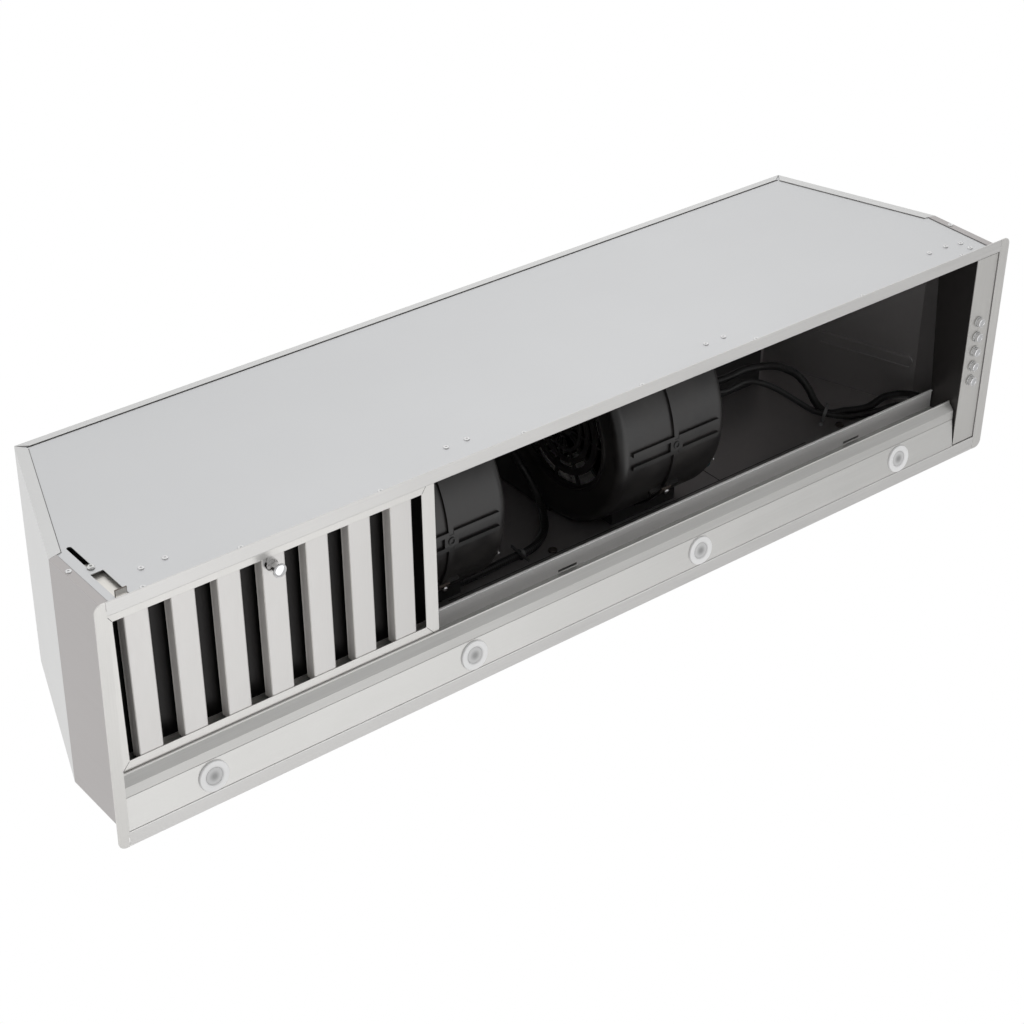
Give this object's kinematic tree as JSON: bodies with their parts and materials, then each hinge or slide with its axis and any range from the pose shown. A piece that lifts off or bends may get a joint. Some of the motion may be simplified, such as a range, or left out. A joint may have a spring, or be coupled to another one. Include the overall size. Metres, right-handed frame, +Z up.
{
  "type": "range hood insert",
  "caption": "Built-in range hood insert: sloped steel liner with a baffle filter, blowers, lamps, push buttons, cabinet clamps and round duct collars with dampers.",
  "frame": {"origin": "centre of the liner's opening, on the flange's lower face", "axes": "+X along the length towards the controls, -Y towards the user, +Z up towards the ducts"},
  "size_m": [1.2197, 0.2863, 0.3955],
  "materials": {
    "steel": "satin stainless sheet, faint grain along the length",
    "bright_steel": "brushed stainless, a little brighter, grain along each piece",
    "rivet_metal": "plain aluminium",
    "spring_steel": "bright plated steel",
    "chrome": "polished",
    "white_plastic": "smooth white",
    "lens": "frosted diffuser, unlit",
    "dark_plastic": "matt black housing",
    "lamp_metal": "dull cast",
    "board": "matt green laminate",
    "zinc_steel": "zinc-plated sheet",
    "blower_plastic": "moulded black, low sheen",
    "cable_sheath": "black sleeving",
    "clip_rubber": "dark rubber"
  },
  "bodies": {
    "liner": {"front_panel": "steel", "rear_panel": "steel", "left_end_panel": "steel", "right_end_panel": "steel", "top_wrap_panel": "steel", "front_trim": "bright_steel", "rear_trim": "bright_steel", "body_rivets": "rivet_metal", "light_panel": "steel", "led_bezels": "white_plastic", "led_lenses": "lens", "led_cans": "lamp_metal", "led_driver": "dark_plastic", "light_harness": "cable_sheath", "filter_lip": "steel", "rear_shelf": "steel", "control_panel": "steel", "control_box": "dark_plastic", "button_rings": "chrome", "switch_board": "board", "left_blower_left_half": "blower_plastic", "left_blower_right_half": "blower_plastic", "right_blower_left_half": "blower_plastic", "right_blower_right_half": "blower_plastic", "left_blower_grilles": "blower_plastic", "right_blower_grilles": "blower_plastic", "left_motor": "lamp_metal", "right_motor": "lamp_metal", "blower_feet": "blower_plastic", "blower_clips": "spring_steel", "left_duct_collar": "zinc_steel", "right_duct_collar": "zinc_steel", "wiring_box": "dark_plastic", "right_conduit": "cable_sheath", "middle_conduit": "cable_sheath", "left_conduit": "cable_sheath", "cable_ties": "white_plastic", "cable_clips": "clip_rubber"},
    "filter": {"filter_frame": "bright_steel", "front_baffles": "bright_steel", "rear_baffles": "bright_steel", "filter_knob": "chrome", "filter_springs": "spring_steel"},
    "front_clamp": {"front_clamp": "zinc_steel", "front_clamp_screw": "spring_steel"},
    "rear_clamp": {"rear_clamp": "zinc_steel", "rear_clamp_screw": "spring_steel"},
    "left_wheel": {"left_wheel": "zinc_steel"},
    "right_wheel": {"right_wheel": "zinc_steel"},
    "left_damper_front": {"left_damper_front": "zinc_steel"},
    "left_damper_rear": {"left_damper_rear": "zinc_steel"},
    "right_damper_front": {"right_damper_front": "zinc_steel"},
    "right_damper_rear": {"right_damper_rear": "zinc_steel"},
    "button_1": {"button_1": "chrome"},
    "button_2": {"button_2": "chrome"},
    "button_3": {"button_3": "chrome"},
    "button_4": {"button_4": "chrome"},
    "button_5": {"button_5": "chrome"}
  },
  "joints": [
    {"name": "filter_tilt", "type": "hinge", "parent": "liner", "child": "filter", "pos_m": [0, 0.0689, 0.0148], "axis": [1, 0, 0], "range_deg": [0, 80]},
    {"name": "front_clamp_slide", "type": "slide", "parent": "liner", "child": "front_clamp", "axis": [0, 0, 1], "range_m": [0, 0.04]},
    {"name": "rear_clamp_slide", "type": "slide", "parent": "liner", "child": "rear_clamp", "axis": [0, 0, 1], "range_m": [0, 0.04]},
    {"name": "left_wheel_spin", "type": "hinge", "parent": "liner", "child": "left_wheel", "pos_m": [-0.1583, 0.0075, 0.1773], "axis": [1, 0, 0], "continuous": true},
    {"name": "right_wheel_spin", "type": "hinge", "parent": "liner", "child": "right_wheel", "pos_m": [0.1583, 0.0075, 0.1773], "axis": [1, 0, 0], "continuous": true},
    {"name": "left_damper_front_lift", "type": "hinge", "parent": "liner", "child": "left_damper_front", "pos_m": [-0.1583, 0.045, 0.312], "axis": [-1, 0, 0], "range_deg": [0, 80]},
    {"name": "left_damper_rear_lift", "type": "hinge", "parent": "liner", "child": "left_damper_rear", "pos_m": [-0.1583, 0.045, 0.312], "axis": [1, 0, 0], "range_deg": [0, 80]},
    {"name": "right_damper_front_lift", "type": "hinge", "parent": "liner", "child": "right_damper_front", "pos_m": [0.1583, 0.045, 0.312], "axis": [-1, 0, 0], "range_deg": [0, 80]},
    {"name": "right_damper_rear_lift", "type": "hinge", "parent": "liner", "child": "right_damper_rear", "pos_m": [0.1583, 0.045, 0.312], "axis": [1, 0, 0], "range_deg": [0, 80]},
    {"name": "button_1_press", "type": "slide", "parent": "liner", "child": "button_1", "axis": [0, 0, 1], "range_m": [0, 0.003], "stiffness_N_per_m": 300, "springref_m": -0.002},
    {"name": "button_2_press", "type": "slide", "parent": "liner", "child": "button_2", "axis": [0, 0, 1], "range_m": [0, 0.003], "stiffness_N_per_m": 300, "springref_m": -0.002},
    {"name": "button_3_press", "type": "slide", "parent": "liner", "child": "button_3", "axis": [0, 0, 1], "range_m": [0, 0.003], "stiffness_N_per_m": 300, "springref_m": -0.002},
    {"name": "button_4_press", "type": "slide", "parent": "liner", "child": "button_4", "axis": [0, 0, 1], "range_m": [0, 0.003], "stiffness_N_per_m": 300, "springref_m": -0.002},
    {"name": "button_5_press", "type": "slide", "parent": "liner", "child": "button_5", "axis": [0, 0, 1], "range_m": [0, 0.003], "stiffness_N_per_m": 300, "springref_m": -0.002}
  ]
}
